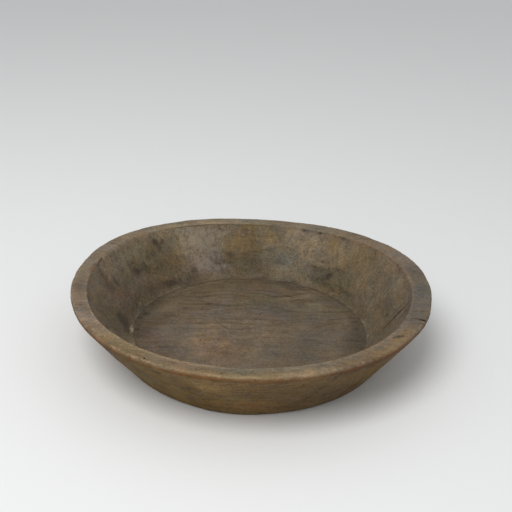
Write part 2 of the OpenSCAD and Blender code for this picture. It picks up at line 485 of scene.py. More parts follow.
# Each cut: points of its line (x, y, z in millimetres from the middle that the section turns round),
# half its width at each of them, its depth, and the way out of the wood
CUTS = {
    "end check": ([(222, -110.4, 104), (232, -110.6, 104), (240, -111, 104), (245.5, -113, 104),
                   (249.5, -114.6, 103), (255, -113.4, 101), (263, -112.6, 97)],
                  (0.25, 0.4, 0.5, 0.8, 1.5, 0.9, 0.6), 9.0, RIM_UP),
    "edge slot": ([(-246.9, 72, 103), (-247.6, 66, 103), (-248.5, 59, 103), (-249.5, 50.4, 102.5),
                   (-250.4, 43, 102)], (0.3, 1.2, 1.7, 1.2, 0.3), 6.0, RIM_UP),
    "nail hole": ([(-134.4, -241.4, 104), (-135, -242.4, 104), (-136.2, -242.9, 104)],
                  (0.9, 1.35, 0.9), 6.0, RIM_UP),
    "wall check": ([(238.7, -45.6, 98), (233.7, -42.6, 89), (228.7, -39.6, 80), (221.7, -37.6, 69),
                    (214.7, -37.6, 59), (207.7, -38.6, 49)], (0.4, 1.2, 2.0, 1.7, 0.9, 0.4), 7.0, wall_out),
}


def cutter(line, halves, depth, out, above=4.0, least=0.25):
    """A closed wedge along a line on the wood, sharp below, open above and shallower where it is narrow."""
    line = [Vector(p) - Vector((MIDDLE_X, MIDDLE_Y, 0)) for p in line]
    points, faces = [], []
    for i, (p, half) in enumerate(zip(line, halves)):
        way = out(p.x, p.y) if callable(out) else Vector(out)
        tangent = (line[min(i + 1, len(line) - 1)] - line[max(i - 1, 0)]).normalized()
        side = way.cross(tangent).normalized() * half * (1 + above / depth)
        deep = depth * min(1.0, least + half / max(halves))
        points += [p + side + way * above, p - side + way * above, p - way * deep]
    for i in range(len(line) - 1):
        a, b = 3 * i, 3 * (i + 1)
        faces += [(a + k, a + (k + 1) % 3, b + (k + 1) % 3, b + k) for k in range(3)]
    faces += [(0, 2, 1), tuple(3 * (len(line) - 1) + k for k in range(3))]
    mesh = bpy.data.meshes.new("cutter")
    mesh.from_pydata([p * MM for p in points], [], faces)
    return mesh


def cut_checks(obj, full_depth=1.5):
    """Cuts the checks, the slot and the hole into the wood, and marks how deep each point lies in them."""
    skin = BVHTree.FromObject(obj, bpy.context.evaluated_depsgraph_get())
    knives = []
    for name, (line, halves, depth, out) in CUTS.items():
        knife = link(cutter(line, halves, depth, out), name)
        cut = obj.modifiers.new(name, "BOOLEAN")
        cut.operation, cut.solver, cut.object = "DIFFERENCE", "MANIFOLD", knife
        knives.append(knife)
    mesh = settled(obj)
    for knife in knives:
        bpy.data.objects.remove(knife)
    depth = [min(1.0, skin.find_nearest(v.co)[3] / MM / full_depth) for v in mesh.vertices]
    mesh.attributes.new("in_cut", "FLOAT", "POINT").data.foreach_set("value", depth)


# Stains, wear, fading and painted light and shade, by kind. Each patch: direction of its middle from the
# grain and its place along the section, its reach round the bowl and along the section in millimetres, and
# its strength. They go from the floor outwards, and on each stretch from the left end by the back to the
# right and by the front
STAINS = {
    "pale": [  # washed-out patches, the largest on the back wall with a left edge that leans
        (114.5, 3.24, 18, 18, 0.75), (114, 3.88, 34, 16, 0.7), (113.5, 3.7, 30, 19, 0.75),
        (113.5, 3.47, 24, 20, 0.75), (107, 3.6, 18, 28, 0.35), (106, 3.86, 16, 12, 0.5),
        (106, 3.17, 26, 12, 0.4), (66, 3.68, 20, 22, 0.2), (50, 3.8, 14, 12, 0.3),
    ],
    "dark": [  # burns, dirt and wet marks, and painted shade along the crease, under the back of the inner edge, under the rim's outer edge and towards the foot at the front right
        # floor
        (172, 0.8, 34, 20, 0.3), (55, 0.4, 12, 5, 0.4),
        # crease: painted shade along it
        (172, 0.985, 5, 4, 0.8), (167, 0.975, 7, 5, 1.0), (140, 0.97, 50, 4, 0.25), (66, 0.955, 50, 3.5, 0.5),
        (66, 0.9, 16, 4, 0.55), (43, 3.04, 16, 5, 0.5), (8, 0.94, 55, 9, 0.45), (-176, 0.985, 5, 5, 0.6),
        (-180, 0.975, 5, 4, 0.9),
        # hollow's wall; the long thin ones at 3.99, just under the inner edge at the back, are painted shade
        # under the edge
        (171, 3.86, 12, 11, 0.5), (166, 3.6, 7, 12, 0.6), (153, 3.6, 8, 10, 0.4), (150.5, 3.5, 7, 8, 0.8),
        (149, 3.12, 10, 10, 0.4), (146, 3.5, 16, 12, 0.6), (143, 3.12, 13, 9, 0.45), (141, 3.64, 6, 6, 0.4),
        (139, 3.42, 22, 13, 0.45), (136, 3.07, 17, 8, 0.75), (135, 3.84, 6, 9, 1.0), (134, 3.7, 6, 8, 0.75),
        (131.5, 3.8, 5, 7, 0.6), (124, 3.07, 13, 6, 0.35), (121, 3.18, 9, 11, 0.55),
        (117, 3.99, 26, 1.6, 0.4), (104, 3.9, 6, 4, 0.45), (101, 3.4, 8, 8, 0.6), (95, 3.99, 80, 1.6, 0.5),
        (93, 3.4, 16, 4, 0.4), (90.5, 3.68, 3, 30, 0.3), (88, 3.47, 12, 3, 0.35), (77, 3.3, 20, 6, 0.4),
        (68, 3.985, 4.5, 3, 1.0), (64, 3.99, 40, 1.8, 0.5), (61, 3.985, 4, 2.8, 1.0), (60, 3.34, 12, 3, 0.6),
        (56.5, 3.3, 11, 6, 0.55), (54.5, 3.47, 16, 4, 0.5), (53, 3.1, 22, 7, 0.5), (51, 3.2, 10, 6, 0.6),
        (50, 3.985, 9, 3, 0.8), (49, 3.27, 10, 6, 0.6), (46, 3.42, 10, 7, 0.6), (44.5, 3.26, 14, 4, 0.3),
        (38, 3.14, 16, 4, 0.3), (34, 3.1, 16, 5, 0.5), (26, 3.5, 16, 10, 0.25), (14, 3.68, 13, 14, 0.35),
        (2, 3.85, 30, 10, 0.3), (-2, 3.4, 4, 4.5, 0.9), (-12, 3.6, 26, 40, 0.3), (-164, 3.3, 40, 30, 0.3),
        (-170, 3.7, 60, 18, 0.2), (-176, 3.2, 17, 14, 0.5),
        # rim; the long thin one at 4.05, along the inner edge at the back, is painted shade under the edge
        (170, 4.5, 8, 2.5, 0.6), (108, 4.05, 90, 1.6, 0.4), (45, 5.6, 60, 14, 0.3), (17, 4.6, 4, 3, 0.8),
        (-24.8, 5.85, 3.5, 4, 1.0), (-37, 5.65, 4.5, 3, 0.8), (-38, 5.47, 4.5, 3, 1.0),
        (-39, 5.3, 4.5, 3, 0.8), (-76, 5.5, 12, 5, 0.3), (-112, 5.45, 16, 5, 0.35), (-158, 5.5, 10, 5, 0.35),
        # painted shadow under the rim's outer edge
        (-48, 7.05, 80, 4, 0.5), (-92, 7.04, 60, 3, 0.5), (-130, 7.05, 60, 5, 0.5),
        # outer wall; the broad one at -60 is painted shade towards the foot at the front right
        (-60, 7.7, 90, 30, 0.4), (-100, 7.85, 60, 8, 0.3), (-104, 7.45, 22, 9, 0.25),
        (-107.5, 7.36, 22, 9, 0.3), (-110.5, 7.27, 22, 8, 0.35), (-113, 7.18, 22, 7, 0.4),
        (-116, 7.1, 22, 7, 0.4), (-122, 7.35, 40, 12, 0.3),
    ],
    "grey": [  # weathered patches
        (62, 0.45, 50, 32, 0.8), (148, 3.72, 34, 26, 0.8), (100, 3.2, 34, 12, 0.45), (84, 3.3, 44, 14, 0.8),
        (72, 3.42, 24, 12, 1.0), (52, 3.3, 36, 22, 0.5), (14, 3.66, 24, 20, 0.6), (-177, 3.9, 34, 12, 0.5),
    ],
    "red": [  # red-brown patches
        (150, 0.6, 60, 30, 0.35), (-60, 0.75, 44, 18, 0.4), (-140, 0.4, 60, 40, 0.8),
        (177, 3.12, 16, 12, 0.5), (173, 3.75, 22, 24, 0.8), (170, 3.32, 40, 26, 0.7), (176, 4.4, 20, 3, 0.9),
    ],
    "brown": [  # golden brown patches, and the band down the back wall
        (80, 0.85, 90, 18, 0.3), (131, 3.6, 26, 34, 0.35), (128, 3.4, 16, 22, 0.5), (125, 3.85, 14, 16, 0.3),
        (124, 3.55, 8, 38, 0.4), (101, 3.6, 12, 18, 0.6), (95, 3.78, 17, 24, 0.7), (94, 3.56, 18, 22, 0.8),
        (90.5, 3.8, 5, 26, 0.8), (90, 3.98, 26, 8, 0.6), (-35, 5.65, 34, 10, 0.8), (-88, 7.75, 110, 30, 0.6),
    ],
    "tan": [  # light brown patches
        (-95, 0.62, 80, 26, 0.8), (-125, 0.5, 66, 40, 1.0), (80, 3.78, 42, 20, 0.6), (66, 3.6, 24, 34, 0.6),
        (54, 3.78, 14, 16, 0.8), (44, 3.62, 40, 22, 0.5), (30, 3.35, 26, 24, 0.5), (4, 3.3, 22, 16, 0.4),
        (-60, 5.8, 130, 8, 0.7), (-130, 5.7, 120, 10, 0.5), (-142, 5.86, 13, 5, 1.0),
        (-164, 5.6, 34, 18, 0.7), (-78, 7.3, 40, 8, 0.4), (-97, 7.22, 70, 12, 0.5), (-112, 7.5, 30, 12, 0.5),
    ],
    "lilac": [  # greyed wear on the rim
        (163, 5.3, 66, 20, 0.6), (75, 5.5, 150, 20, 0.4), (8, 5.5, 122, 26, 0.8), (-15, 5.35, 66, 26, 1.0),
        (-173, 5.0, 60, 10, 0.6),
    ],
    "chip_and_highlight": [  # chips that show the wood's light inside, and painted highlights in the long thin lines along the front of the rim's edges
        (173, 3.04, 14, 3, 0.5), (163, 3.04, 12, 3, 0.4), (-175, 2.2, 16, 4, 0.9), (104, 3.975, 3, 2.4, 1.0),
        (101.5, 3.97, 2.6, 2.2, 1.0), (-110, 5.9, 150, 8, 0.25), (-128, 4.6, 80, 2, 0.4),
        (-142, 5.86, 8, 2.5, 0.8), (-158, 4.5, 50, 2, 0.6), (-64, 6.3, 70, 2.6, 0.3),
        (-92, 6.4, 60, 2.6, 0.4), (-120, 6.3, 60, 2.6, 0.4),
    ],
    "rust": [  # rust-brown lines along the rim's edges
        (174, 4.5, 22, 3, 0.7), (128, 4.6, 110, 2.2, 0.4), (28, 4.4, 110, 2, 0.6), (-6, 4.2, 60, 2, 0.6),
        (-20, 4.0, 26, 2.4, 0.8), (-8, 6.7, 40, 3, 0.5), (-37, 7.03, 70, 9, 1.0), (-38, 7.05, 50, 6, 0.6),
        (-62, 7.0, 70, 3.2, 0.8), (-84, 6.3, 90, 6, 0.3), (-98, 6.98, 110, 4, 1.0), (-118, 6.1, 110, 8, 0.4),
        (-138, 6.9, 76, 4, 1.0), (-163, 6.9, 40, 3, 0.7),
    ],
    "mottle": [  # fine dark specks
        (162, 3.4, 34, 34, 0.5), (148, 3.55, 46, 24, 0.9), (136, 3.12, 44, 12, 0.8), (132, 3.75, 30, 24, 1.0),
        (128, 3.45, 34, 22, 0.7), (94, 3.34, 26, 12, 0.8), (82, 3.34, 40, 10, 0.5), (60, 3.32, 18, 6, 0.8),
        (52, 3.3, 36, 20, 1.0), (45, 3.45, 28, 9, 0.6), (44, 3.14, 30, 13, 1.0), (8, 3.5, 40, 34, 0.4),
        (22, 5.6, 80, 20, 0.5),
    ],
    "faded_and_lit": [  # lighter stretches, among them painted highlight along the rim's edges at the front and painted light on the outer wall's front left
        # floor
        (49, 0.77, 40, 12, 0.5), (43, 0.81, 18, 6, 0.6), (36, 0.86, 14, 10, 0.4), (-2, 0.16, 28, 24, 0.5),
        (-125, 0.35, 100, 60, 0.55), (-148, 0.4, 40, 28, 0.6), (-150, 0.4, 46, 34, 0.7),
        # crease
        (47, 3.0, 20, 8, 0.5),
        # hollow's wall
        (167, 3.86, 20, 14, 0.6), (163, 3.86, 28, 15, 1.0), (147, 3.86, 40, 14, 0.5), (144, 3.54, 9, 8, 0.6),
        (122, 3.9, 24, 10, 0.8), (122, 3.62, 12, 18, 0.3), (121, 3.6, 10, 16, 0.5), (120, 3.9, 26, 9, 0.4),
        (119, 3.72, 16, 26, 0.9), (113, 3.8, 44, 26, 0.3), (108, 3.97, 60, 8, 0.6), (75, 3.1, 18, 16, 0.5),
        (70, 3.72, 26, 18, 0.3), (69.5, 3.9, 19, 10, 0.7), (61.5, 3.8, 16, 21, 0.9), (60.4, 3.9, 10, 13, 0.6),
        (60, 3.4, 24, 14, 0.4), (55, 3.42, 20, 9, 0.6), (42, 3.22, 10, 6, 0.5), (37, 3.12, 10, 7, 0.4),
        (25, 3.97, 14, 8, 0.4), (16, 3.15, 14, 20, 0.5), (3, 3.88, 54, 12, 0.8), (-166, 3.9, 70, 9, 0.6),
        # rim; the long thin bands at 4.7 along the front are painted highlight on the inner edge
        (119, 4.5, 60, 12, 0.8), (108, 4.3, 60, 5, 0.6), (0, 4.3, 70, 5, 0.7), (-15, 5.8, 34, 9, 0.7),
        (-120, 4.7, 130, 6, 0.6), (-140, 5.05, 90, 9, 0.5), (-155, 5.8, 40, 12, 0.9),
        (-157, 5.3, 60, 14, 0.5), (-160, 4.7, 100, 6, 0.9),
        # rim's outer edge: painted highlight along its top at the front
        (-71, 6.4, 30, 8, 0.5), (-97, 6.5, 90, 7, 0.9), (-137, 6.0, 34, 10, 0.6),
        # outer wall: painted light where it faces the lamp at the front left
        (-94, 7.15, 54, 20, 0.5), (-108, 7.15, 44, 24, 0.7),
    ],
    "dull": [  # darker stretches, among them painted shade along the crease and painted shadow under the rim's outer edge
        # floor
        (110, 0.83, 40, 16, 0.3), (64, 0.8, 18, 20, 0.5), (-64, 0.5, 110, 50, 0.45), (-176, 0.6, 26, 20, 0.3),
        # crease: painted shade on both sides of it
        (167, 3.02, 54, 22, 0.9), (158, 0.98, 34, 18, 1.0), (157, 3.0, 34, 18, 0.5), (130, 3.02, 60, 13, 0.8),
        (122, 3.0, 22, 10, 0.5), (97, 0.94, 80, 14, 0.4), (68, 1.0, 26, 16, 0.5), (51, 3.04, 16, 12, 0.5),
        (49, 3.03, 12, 8, 1.0), (21, 3.04, 24, 15, 0.7), (12, 3.0, 30, 10, 0.7), (-9, 0.92, 46, 20, 0.9),
        (-75, 0.9, 150, 16, 0.4), (-174, 3.02, 20, 14, 0.9), (-176, 2.0, 30, 26, 1.0),
        (-177, 1.7, 24, 16, 1.0), (-177, 0.95, 44, 20, 0.9),
        # hollow's wall
        (172, 3.6, 18, 12, 0.6), (172, 3.6, 10, 10, 0.4), (172, 3.8, 26, 16, 0.3), (159, 3.46, 24, 11, 0.7),
        (157, 3.14, 44, 20, 1.0), (138, 3.71, 14, 15, 0.7), (137, 3.58, 14, 12, 0.4),
        (134, 3.26, 18, 14, 0.4), (132, 3.5, 12, 24, 0.6), (109, 3.48, 14, 22, 0.4), (109, 3.3, 24, 18, 0.5),
        (104, 3.51, 12, 13, 0.3), (94, 3.27, 32, 17, 1.0), (90, 3.08, 46, 11, 0.8), (88, 3.5, 12, 31, 0.5),
        (56, 3.18, 20, 10, 0.6), (55, 3.36, 34, 9, 0.5), (52, 3.2, 14, 9, 0.7), (47, 3.25, 34, 18, 0.6),
        (41, 3.35, 26, 30, 0.5), (37, 3.62, 30, 44, 0.4), (33, 3.05, 48, 30, 0.6), (30, 3.15, 20, 20, 0.7),
        (4, 3.45, 24, 18, 0.8), (3, 3.46, 42, 22, 0.5), (-30, 3.3, 110, 60, 0.5),
        # rim
        (0, 5.3, 70, 22, 0.5), (-14, 5.3, 70, 26, 0.5), (-24, 5.7, 54, 12, 0.5), (-100, 5.5, 150, 8, 0.4),
        (-161, 5.3, 60, 20, 0.9), (-168, 5.1, 44, 14, 0.9), (-169, 5.42, 34, 11, 0.9),
        # rim's outer edge; the two reaching below it, at 6.9 and 7.05, are painted shadow under the edge
        (-56, 6.9, 60, 22, 0.9), (-57, 6.0, 32, 16, 0.7), (-117, 6.4, 34, 10, 0.7), (-128, 6.0, 60, 8, 0.6),
        (-140, 7.05, 90, 24, 0.5),
        # outer wall
        (-50, 7.31, 60, 43, 0.4), (-75, 7.45, 64, 38, 0.4), (-76, 7.33, 90, 38, 0.6),
        (-83, 7.15, 26, 18, 0.6), (-112, 7.5, 60, 38, 0.4), (-126, 7.45, 70, 44, 0.4),
    ],
    "amber": [  # yellower stretches
        (158, 0.8, 70, 30, 0.2), (83, 0.7, 50, 30, 0.15), (75.7, 0.55, 50, 36, 0.4), (115, 0.9, 90, 30, 0.4),
        (-8, 1.5, 40, 40, 0.2), (150, 3.7, 40, 20, 0.3), (140, 3.15, 40, 20, 0.15), (138, 3.35, 30, 26, 0.5),
        (103, 3.55, 12, 30, 0.6), (96, 3.33, 18, 12, 0.5), (94, 3.25, 28, 14, 0.4), (90, 3.98, 24, 6, 0.5),
        (88, 3.5, 10, 18, 0.5), (86, 3.85, 20, 14, 0.4), (80, 3.3, 90, 60, 0.25), (62, 3.1, 50, 12, 0.4),
        (50, 3.75, 24, 34, 0.3), (42, 3.1, 34, 20, 0.5), (36, 3.7, 30, 60, 0.4), (-93, 6.0, 60, 10, 0.6),
        # Those at -112 and -128, on the outer wall at the front left, are partly painted: a warm reflection
        # of a table below it
        (-115, 6.2, 140, 10, 0.4), (-45, 7.2, 60, 60, 0.9), (-112, 7.8, 60, 40, 0.8),
        (-128, 7.4, 90, 120, 1.0),
    ],
    "ash": [  # bluer stretches
        (-11, 0.77, 34, 28, 0.6), (-90, 0.6, 220, 60, 0.4), (-105, 0.6, 140, 34, 0.4),
        (-132, 0.34, 30, 24, 0.5), (172, 3.6, 50, 44, 0.4), (160, 3.8, 26, 16, 0.9), (122, 3.6, 20, 40, 0.5),
        (121.5, 3.63, 13, 36, 0.7), (119, 3.3, 16, 20, 0.7), (114.3, 3.75, 26, 24, 0.5),
        (112, 3.5, 26, 50, 0.5), (111, 3.4, 26, 30, 0.6), (101, 3.86, 16, 12, 1.0), (91.5, 3.9, 20, 16, 0.5),
        (84, 3.2, 28, 10, 0.6), (71, 3.5, 38, 40, 0.6), (69, 3.2, 30, 20, 0.5), (68, 3.25, 34, 20, 1.0),
        (68, 3.2, 26, 14, 0.8), (67, 3.6, 30, 50, 1.0), (66, 3.3, 26, 26, 0.6), (33, 3.36, 18, 12, 0.6),
        (29, 3.15, 20, 14, 0.4), (-15, 5.2, 70, 26, 0.7), (-31, 5.4, 40, 20, 0.4), (-34, 5.6, 60, 18, 0.7),
        (-120, 5.9, 70, 12, 0.4), (-140, 5.6, 110, 22, 0.5), (-150, 5.9, 100, 16, 0.6),
        (-157, 5.3, 80, 20, 0.7),
    ],
    "green": [  # greener stretches
        (36, 0.7, 60, 50, 0.5), (-38, 0.6, 50, 36, 0.3), (152, 3.8, 80, 40, 0.7), (124, 3.6, 20, 24, 0.6),
        (122, 3.9, 40, 30, 0.4), (76, 3.45, 40, 30, 0.4), (52, 3.25, 40, 26, 0.6), (45, 3.8, 60, 30, 0.2),
        (88, 4.0, 24, 24, 0.6), (-4, 5.7, 70, 14, 0.7), (-24, 5.6, 30, 16, 0.6), (-34, 7.2, 50, 60, 0.5),
        (-132, 7.2, 70, 100, 1.0),
    ],
    "pink": [  # pinker stretches
        (78, 0.78, 50, 16, 0.4), (60, 0.3, 40, 20, 0.3), (-122, 0.55, 40, 20, 0.35),
        (-165, 0.85, 50, 24, 0.4), (172, 3.5, 20, 24, 0.4), (152, 3.5, 20, 24, 0.4), (144, 3.15, 30, 16, 0.4),
        (114, 3.3, 40, 26, 0.5), (150, 5.4, 70, 22, 0.4), (38, 5.5, 60, 22, 0.5), (14, 5.5, 50, 24, 0.35),
        (-40, 5.5, 90, 24, 0.6), (-118, 5.35, 80, 22, 0.7), (-140, 5.7, 70, 30, 0.8),
        (-168, 5.3, 60, 24, 0.35), (-56, 6.5, 50, 14, 0.5), (-78, 7.06, 70, 14, 0.4),
        (-87, 7.75, 34, 16, 0.5),
    ],
}
# How sharply a patch ends at its reach
PATCH_EDGE = 1.3


def stain(mesh):
    """Writes how strong each kind of stain is at each point of the skin."""
    n = len(mesh.vertices)
    co, place = np.zeros(n * 3), np.zeros(n)
    mesh.vertices.foreach_get("co", co)
    mesh.attributes["place"].data.foreach_get("value", place)
    x, y = co[0::3] / MM + MIDDLE_X, co[1::3] / MM + MIDDLE_Y
    radius, direction = np.hypot(x, y), np.degrees(np.arctan2(y, x))
    ends = np.concatenate([[0], np.cumsum(list(RUNS.values()))])
    run = np.interp(place, np.arange(len(ends)), ends)
    for kind, patches in STAINS.items():
        clear = np.ones(n)
        for turn, at, wide, long, strength in patches:
            away = np.radians((direction - turn + 180) % 360 - 180) * radius
            down = run - np.interp(at, np.arange(len(ends)), ends)
            q = (away / wide) ** 2 + (down / long) ** 2
            clear *= 1 - strength * np.exp(-q ** PATCH_EDGE)
        mesh.attributes.new(kind, "FLOAT", "POINT").data.foreach_set("value", 1 - clear)


# Thin marks in the hollow, in the order in which they're laid on: kind, both ends as seen from above and half
# the width, in millimetres in the frame
SCRATCHES = [
    # on the floor: a long line and the arc of grain below it, and broken lines behind
    ("dark", (-94, 32), (-58, 34), 0.8), ("dark", (-52, 34), (31, 36), 1.0),
    ("dark", (-59, 29), (-37, 3), 0.8), ("dark", (-37, 2), (-15, 1), 0.9), ("dark", (-15, 1), (1, 20), 0.8),
    ("dark", (1, 20), (18, 61), 0.7), ("dark", (-36, 69), (10, 74), 1.1), ("pale", (-66, 65), (-46, 69), 1.3),
    ("pale", (46, 122), (68, 117), 1.2), ("dark", (7, 143), (36, 140), 1.0),
    ("dark", (36, 140), (54, 131), 1.1), ("dark", (54, 131), (73, 119), 1.2),
    ("dark", (38, 184), (66, 163), 0.9), ("dark", (66, 163), (92, 157), 0.8),
    ("dark", (-30, 92), (44, 96), 0.5), ("dark", (-120, 112), (-30, 118), 0.5),
    ("dark", (30, 70), (110, 64), 0.5),
    # at the right, most of them on the hollow's wall; at the wall check, the wide dark line is painted shade
    # in and round its groove and the pale line beside it is a painted highlight on its lip
    ("pale", (217, 44), (228, 47), 1.2), ("pale", (218, 54), (224, 54), 1.0),
    ("dark", (219, 50), (229, 52), 1.0), ("pale", (169, 29), (170, 29), 1.2),
    ("pale", (210, 33), (211, 34), 1.0), ("pale", (213, 49), (214, 49), 1.0),
    ("pale", (237, -51), (224, -51), 1.8), ("dark", (238, -43), (207, -36), 2.4),
    ("dark", (233, -62), (219, -70), 1.6), ("dark", (236, -26), (218, -20), 0.8),
    ("rust", (236, -9), (245, -5), 1.1), ("rust", (231, 4), (236, 7), 0.9),
]
# Tones as a screen shows them, 0 to 255
TONES = {
    # the wood on each stretch of the bowl
    "floor": (99, 87, 72), "wall": (108, 95, 77), "rim": (119, 106, 87), "outside": (108, 88, 56),
    "underside": (106, 89, 65),
    # wear, dirt and cuts, with painted highlight on the edges and the ridge's crest, painted shade in the
    # crease and inside the cuts, and painted light inside the slot
    "worn and lit edge": (150, 124, 96), "crest": (140, 125, 102), "crease_shade": (58, 50, 38), "grit": (54, 48, 40),
    "pore": (62, 52, 44), "slot": (138, 112, 106), "check": (26, 20, 19),
    # stains with a ragged edge
    "pale": (146, 134, 117), "rust": (98, 64, 36), "chip_and_highlight": (152, 133, 106), "dark": (46, 40, 32),
    # thin marks
    "pale line": (140, 127, 102), "rust line": (100, 66, 44), "dark line": (52, 45, 36),
}
# What else changes the colour: what it multiplies red, green and blue with
TINTS = {
    "left outside table reflection": (0.94, 0.84, 0.62), "right outside": (0.92, 0.86, 0.75),
    "dark strand": (0.8, 0.7, 0.56), "light strand": (1.16, 1.16, 1.2), "late wood": (0.55, 0.48, 0.4),
    "warm": (1.06, 1.0, 0.88), "cool": (0.96, 1.0, 1.05), "dirt": (0.5, 0.46, 0.4), "bare": (1.25, 1.2, 1.1),
    "burn and shade": (0.5, 0.5, 0.5), "tool line": (1.2, 1.17, 1.1), "pit": (0.5, 0.44, 0.4),
    "dull": (0.48, 0.47, 0.45), "faded_and_lit": (1.6, 1.57, 1.5), "amber": (1.0, 0.94, 0.55),
    "ash": (0.94, 1.01, 1.24), "green": (0.93, 1.02, 0.96), "pink": (1.06, 0.89, 1.07),
    "grey": (0.88, 0.93, 1.03), "lilac": (0.86, 0.89, 0.99), "red": (1.0, 0.92, 0.88),
    "brown": (1.03, 0.93, 0.72), "tan": (1.22, 1.16, 1.03),
}
# Kinds of stain in the order in which they're laid on: soft stretches, and then patches broken by blotches
STRETCHES = ("dull", "faded_and_lit", "amber", "ash", "green", "pink")
PATCHES = ("grey", "lilac", "red", "brown", "tan")
# Those with a ragged edge: the tone's share in them, how much of the wood they cover, how ragged they are,
# and the strengths between which they come in
RAGGED = {
    "pale": (0.6, 0.8, 1.1, 0.0, 1.1), "rust": (1.0, 0.75, 1.6, 0.3, 0.85),
    "chip_and_highlight": (1.0, 0.7, 1.2, 0.3, 0.85), "dark": (0.75, 0.85, 1.2, 0.3, 0.85),
}
# How much of each kind of thin mark covers the wood
LINE_COVER = {"dark line": 0.6, "pale line": 0.45, "rust line": 0.6}

# Noises along the grain: reach along it, across it and upwards in millimetres, a shift that sets each apart
# from the others, detail and roughness
GRAIN = {
    "sway": (230, 90, 90, 0, 2, 0.5), "ripple": (34, 15, 15, 0, 2, 0.5), "patchy": (60, 14, 14, 0, 2, 0.5),
    "fibre": (30, 2.2, 2.2, 0, 4, 0.68), "fine": (6, 1.2, 1.2, 0, 3, 0.7),
    "streak": (17, 5, 5, 60, 3, 0.65), "strand": (60, 8, 3.5, -70, 3, 0.6),
    "fleck": (9, 3, 3, 30, 4, 0.75), "pore": (5, 1.4, 1.4, 0, 2, 0.6),
}
# Noises that are alike in all directions: reach in millimetres, shift, detail and roughness
CLOUDS = {
    "cloud": (48, 0, 4, 0.6), "blotch": (15, 500, 5, 0.72), "speck": (3.6, 900, 3, 0.75),
    "hue": (30, -300, 4, 0.65), "grit": (4.5, 1300, 4, 0.8),
}
# How far each noise moves the brightness: everywhere, and how much further on the hollow's wall, on the rim
# and on the outside
CONTRAST = {
    "ring": (0.8, 0, -0.2, 0), "fibre": (0.8, 0, -0.2, 0), "fine": (0.5, 0, -0.2, 0), "cloud": (0.8, 0, 0, 0),
    "blotch": (0.9, 0.3, 0, 0), "speck": (1.2, 0.3, 0.1, 0.7), "stroke": (0, 0.5, 0, 0),
    "streak": (0.25, 0, 0.4, 0.6),
}
# Where the tree's heart lies above the bowl, and the widths of its rings and of the bands of late wood, in
# millimetres
HEART_Y, HEART_Z = -12.0, 190.0
RING_WIDTH, LATE_WIDTH = 6.5, 9.5


def tone(name):
    """A colour of the table as a screen shows it, made linear."""
    shares = [v / 255 for v in TONES[name]]
    return tuple(v / 12.92 if v <= 0.04045 else ((v + 0.055) / 1.055) ** 2.4 for v in shares) + (1.0,)


# The colour sockets of a Mix node
MIX_FACTOR, MIX_A, MIX_B, MIX_RESULT = 0, 6, 7, 2


def mix(factor, a, b, blend="MIX"):
    """One colour towards another by a factor."""
    tree = next(v.tree for v in (factor, a, b) if isinstance(v, Wire))
    node = tree.nodes.new("ShaderNodeMix")
    node.data_type, node.blend_type = "RGBA", blend
    for value, socket in ((factor, MIX_FACTOR), (a, MIX_A), (b, MIX_B)):
        feed(tree, value, node.inputs[socket])
    return Wire(tree, node.outputs[MIX_RESULT])


def tinted(base, factor, name):
    """A colour multiplied by a tint of the table, by a factor."""
    return mix(factor, base, TINTS[name] + (1.0,), "MULTIPLY")


def carried(tree, name):
    """A number that the mesh carries at each point."""
    node = tree.nodes.new("ShaderNodeAttribute")
    node.attribute_name = name
    return Wire(tree, node.outputs["Fac"])


def wood_wires(tree):
    """Where a point lies in the wood and on the bowl, and the noises there that its finish is mixed from."""
    place = carried(tree, "place")
    at = Wire(tree, tree.nodes.new("ShaderNodeTexCoord").outputs["Object"]) / MM
    x, y, z = parts(at)
    w = SimpleNamespace(tree=tree, place=place, x=x, y=y, direction=unit(point(x, y)))
    for name, (along, across, up, shift, detail, rough) in GRAIN.items():
        setattr(w, name, noise(point(x / along, y / across, z / up) + shift, detail, rough))
    for name, (reach, shift, detail, rough) in CLOUDS.items():
        setattr(w, name, noise((at + shift) / reach, detail, rough))
    # Strokes down the hollow's wall
    w.stroke = noise(w.direction * 85.0 + point(0.0, 0.0, z / 16.0), 3.0, 0.65)
    # The tree's rings lie round a heart above the bowl, along the grain
    heart = work("LENGTH", point(0.0, y - HEART_Y, z - HEART_Z)) + w.sway * 70.0 + w.ripple * 3.0
    w.ring = noise(point(heart / RING_WIDTH, x / 500.0), 3.0, 0.62)
    late = work("FRACT", heart / LATE_WIDTH)
    late = span(late, 0.45, 0.9) * span(late, 0.92, 1.0, 1.0, 0.0)
    w.late = late * span(w.patchy, 0.42, 0.62)
    w.pores = span(w.pore, 0.62, 0.74)

    w.wall = between(place, WALL - 0.5, EDGE + 0.4, 0.25)
    w.rim = between(place, EDGE + 0.4, ROLL + 0.8, 0.25)
    w.outside = between(place, ROLL + 0.8, FOOT + 0.5, 0.2)
    w.under = span(place, FOOT + 0.4, FOOT + 0.9)
    return w


